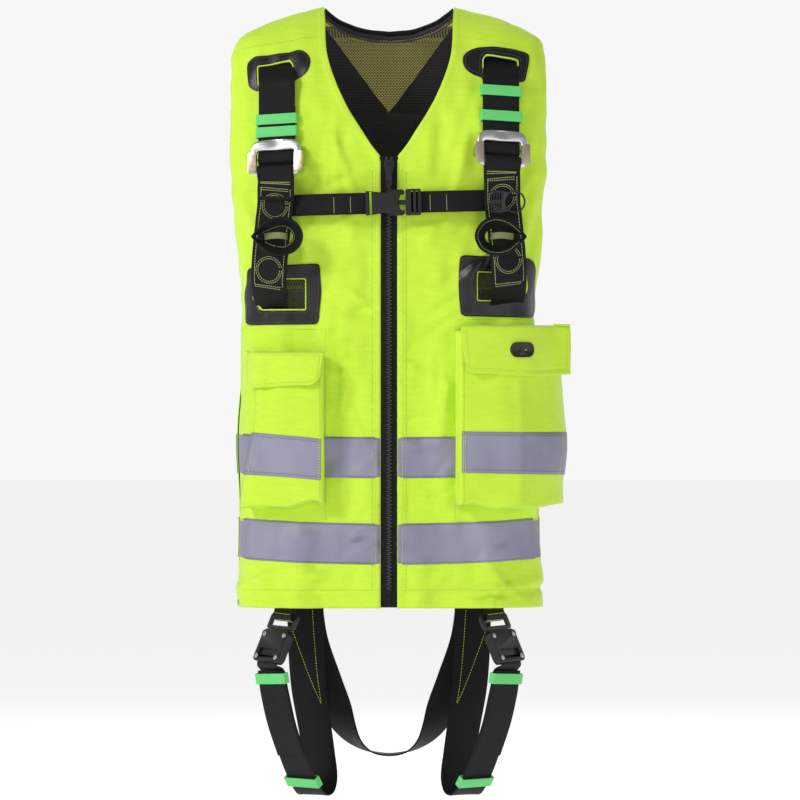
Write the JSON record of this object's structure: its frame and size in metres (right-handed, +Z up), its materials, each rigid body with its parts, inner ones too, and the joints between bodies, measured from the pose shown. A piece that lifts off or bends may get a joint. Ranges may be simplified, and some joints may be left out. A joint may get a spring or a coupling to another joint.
{
  "type": "safety harness vest",
  "caption": "Fluorescent yellow zip work vest with a full-body fall-arrest harness threaded through it, with pockets and reflective bands.",
  "frame": {"origin": "middle of the neck opening at the height of the shoulder line, where the vest rests on the wearer", "axes": "+Z up along the body, -Y the front of the vest, +X the wearer's left"},
  "size_m": [0.4138, 0.2647, 0.9665],
  "materials": {
    "shell_fabric": "matte woven polyester",
    "black_mesh": "open warp-knit mesh",
    "reflective_tape": "glass-bead tape",
    "black_pu": "satin coated",
    "black_webbing": "woven polyester webbing",
    "black_plastic": "satin moulded",
    "badge_plastic": "moulded, blank",
    "green_elastic": "satin moulded",
    "zipper_metal": "black lacquer",
    "bare_aluminium": "satin",
    "forged_steel": "zinc plated",
    "black_steel": "black anodised"
  },
  "bodies": {
    "vest": {"adjuster_frame_left": "bare_aluminium", "adjuster_frame_right": "bare_aluminium", "back_panel": "shell_fabric", "badge": "badge_plastic", "chest_buckle_socket": "black_plastic", "chest_strap_left": "black_webbing", "chest_strap_right": "black_webbing", "chest_webbing_left": "black_webbing", "chest_webbing_right": "black_webbing", "dorsal_plate": "black_plastic", "dorsal_window_patch": "black_pu", "front_panel_left": "shell_fabric", "front_panel_right": "shell_fabric", "lanyard_park_clip": "black_plastic", "lower_window_patch_left": "black_pu", "lower_window_patch_right": "black_pu", "mesh_lining": "black_mesh", "neck_binding": "black_webbing", "pocket_left": "shell_fabric", "pocket_right": "shell_fabric", "reflective_band_lower": "reflective_tape", "reflective_band_upper": "reflective_tape", "shoulder_webbing_left": "black_webbing", "shoulder_webbing_right": "black_webbing", "upper_window_patch_left": "black_pu", "upper_window_patch_right": "black_pu", "zipper_tapes": "black_webbing", "zipper_teeth": "black_plastic"},
    "adjuster_bar_left": {"adjuster_bar_left": "bare_aluminium"},
    "adjuster_bar_right": {"adjuster_bar_right": "bare_aluminium"},
    "chest_buckle_plug": {"chest_buckle_plug": "black_plastic"},
    "chest_buckle_prong_lower": {"chest_buckle_prong_lower": "black_plastic"},
    "chest_buckle_prong_upper": {"chest_buckle_prong_upper": "black_plastic"},
    "dorsal_d_ring": {"dorsal_d_ring": "forged_steel"},
    "leg_harness": {"leg_buckle_body_left": "black_steel", "leg_buckle_body_right": "black_steel", "leg_buckle_rivets": "forged_steel", "leg_webbing_left": "black_webbing", "leg_webbing_right": "black_webbing", "seat_webbing": "black_webbing"},
    "leg_buckle_lever_left": {"leg_buckle_lever_left": "black_steel"},
    "leg_buckle_lever_right": {"leg_buckle_lever_right": "black_steel"},
    "leg_tongue_left": {"leg_buckle_tongue_left": "black_steel", "tongue_webbing_left": "black_webbing"},
    "leg_tongue_right": {"leg_buckle_tongue_right": "black_steel", "tongue_webbing_right": "black_webbing"},
    "leg_keeper_lower_left": {"leg_keeper_lower_left": "green_elastic"},
    "leg_keeper_lower_right": {"leg_keeper_lower_right": "green_elastic"},
    "leg_keeper_upper_left": {"leg_keeper_upper_left": "green_elastic"},
    "leg_keeper_upper_right": {"leg_keeper_upper_right": "green_elastic"},
    "pocket_flap_left": {"pocket_flap_left": "shell_fabric"},
    "pocket_flap_right": {"pocket_flap_right": "shell_fabric"},
    "shoulder_keeper_lower_left": {"shoulder_keeper_lower_left": "green_elastic"},
    "shoulder_keeper_lower_right": {"shoulder_keeper_lower_right": "green_elastic"},
    "shoulder_keeper_upper_left": {"shoulder_keeper_upper_left": "green_elastic"},
    "shoulder_keeper_upper_right": {"shoulder_keeper_upper_right": "green_elastic"},
    "sternal_loop_left": {"sternal_loop_left": "black_webbing"},
    "sternal_loop_right": {"sternal_loop_right": "black_webbing"},
    "zipper_puller": {"zipper_puller": "zipper_metal"},
    "zipper_slider": {"zipper_slider": "zipper_metal"}
  },
  "joints": [
    {"name": "zipper_slide", "type": "slide", "parent": "vest", "child": "zipper_slider", "axis": [0, 0, -1], "range_m": [0, 0.5]},
    {"name": "puller_lift", "type": "hinge", "parent": "zipper_slider", "child": "zipper_puller", "pos_m": [0, -0.1214, -0.196], "axis": [-1, 0, 0], "range_deg": [0, 150]},
    {"name": "flap_left_lift", "type": "hinge", "parent": "vest", "child": "pocket_flap_left", "pos_m": [0.084, -0.118, -0.393], "axis": [-0.9397, -0.342, 0], "range_deg": [0, 70]},
    {"name": "flap_right_lift", "type": "hinge", "parent": "vest", "child": "pocket_flap_right", "pos_m": [-0.077, -0.121, -0.425], "axis": [-0.9397, 0.342, 0], "range_deg": [0, 70]},
    {"name": "shoulder_keeper_upper_left_slide", "type": "slide", "parent": "vest", "child": "shoulder_keeper_upper_left", "axis": [0, 0.2778, 0.9606], "range_m": [-0.008, 0.004]},
    {"name": "shoulder_keeper_lower_left_slide", "type": "slide", "parent": "vest", "child": "shoulder_keeper_lower_left", "axis": [0, 0.2778, 0.9606], "range_m": [-0.009, 0.008]},
    {"name": "shoulder_keeper_upper_right_slide", "type": "slide", "parent": "vest", "child": "shoulder_keeper_upper_right", "axis": [0, 0.2778, 0.9606], "range_m": [-0.0005, 0.036]},
    {"name": "shoulder_keeper_lower_right_slide", "type": "slide", "parent": "vest", "child": "shoulder_keeper_lower_right", "axis": [0, 0.2778, 0.9606], "range_m": [-0.003, 0.001]},
    {"name": "adjuster_bar_left_slide", "type": "slide", "parent": "vest", "child": "adjuster_bar_left", "axis": [0, 0.2778, 0.9606], "range_m": [-0.002, 0]},
    {"name": "adjuster_bar_right_slide", "type": "slide", "parent": "vest", "child": "adjuster_bar_right", "axis": [0, 0.2778, 0.9606], "range_m": [-0.002, 0]},
    {"name": "sternal_loop_left_swing", "type": "hinge", "parent": "vest", "child": "sternal_loop_left", "pos_m": [0.163, -0.1245, -0.284], "axis": [0, 0, 1], "range_deg": [0, 60]},
    {"name": "sternal_loop_right_swing", "type": "hinge", "parent": "vest", "child": "sternal_loop_right", "pos_m": [-0.163, -0.1245, -0.284], "axis": [0, 0, -1], "range_deg": [0, 60]},
    {"name": "chest_plug_release", "type": "slide", "parent": "vest", "child": "chest_buckle_plug", "axis": [0.9997, 0, 0.0262], "range_m": [0, 0.028]},
    {"name": "prong_upper_squeeze", "type": "hinge", "parent": "chest_buckle_plug", "child": "chest_buckle_prong_upper", "pos_m": [0.01667, -0.131, -0.23006], "axis": [0, -1, 0], "range_deg": [0, 9], "stiffness_Nm_per_rad": 0.5},
    {"name": "prong_lower_squeeze", "type": "hinge", "parent": "chest_buckle_plug", "child": "chest_buckle_prong_lower", "pos_m": [0.01732, -0.131, -0.25505], "axis": [0, 1, 0], "range_deg": [0, 9], "stiffness_Nm_per_rad": 0.5},
    {"name": "dorsal_ring_lift", "type": "hinge", "parent": "vest", "child": "dorsal_d_ring", "pos_m": [0, 0.112, -0.16], "axis": [1, 0, 0], "range_deg": [0, 150]},
    {"name": "leg_loops_swing", "type": "hinge", "parent": "vest", "child": "leg_harness", "pos_m": [0, -0.039, -0.704], "axis": [1, 0, 0], "range_deg": [-12, 12]},
    {"name": "leg_tongue_left_release", "type": "slide", "parent": "leg_harness", "child": "leg_tongue_left", "axis": [-0.3598, 0.1999, 0.9114], "range_m": [0, 0.026]},
    {"name": "leg_lever_left_press", "type": "hinge", "parent": "leg_harness", "child": "leg_buckle_lever_left", "pos_m": [0.16018, -0.04839, -0.7894], "axis": [-0.7604, 0.5032, -0.4105], "range_deg": [0, 13], "stiffness_Nm_per_rad": 0.05},
    {"name": "leg_keeper_upper_left_slide", "type": "slide", "parent": "leg_harness", "child": "leg_keeper_upper_left", "axis": [0.1603, -0.1079, 0.9812], "range_m": [-0.008, 0]},
    {"name": "leg_keeper_lower_left_slide", "type": "slide", "parent": "leg_harness", "child": "leg_keeper_lower_left", "axis": [0.3716, -0.4848, 0.7918], "range_m": [-0.001, 0.002]},
    {"name": "leg_tongue_right_release", "type": "slide", "parent": "leg_harness", "child": "leg_tongue_right", "axis": [0.3598, 0.1999, 0.9114], "range_m": [0, 0.026]},
    {"name": "leg_lever_right_press", "type": "hinge", "parent": "leg_harness", "child": "leg_buckle_lever_right", "pos_m": [-0.16018, -0.04839, -0.7894], "axis": [-0.7604, -0.5032, 0.4105], "range_deg": [0, 13], "stiffness_Nm_per_rad": 0.05},
    {"name": "leg_keeper_upper_right_slide", "type": "slide", "parent": "leg_harness", "child": "leg_keeper_upper_right", "axis": [-0.1603, -0.1079, 0.9812], "range_m": [-0.008, 0]},
    {"name": "leg_keeper_lower_right_slide", "type": "slide", "parent": "leg_harness", "child": "leg_keeper_lower_right", "axis": [-0.3716, -0.4848, 0.7918], "range_m": [-0.001, 0.002]}
  ],
  "couplings": [
    {"joint": "prong_lower_squeeze", "follows": "prong_upper_squeeze", "ratio": 1}
  ]
}
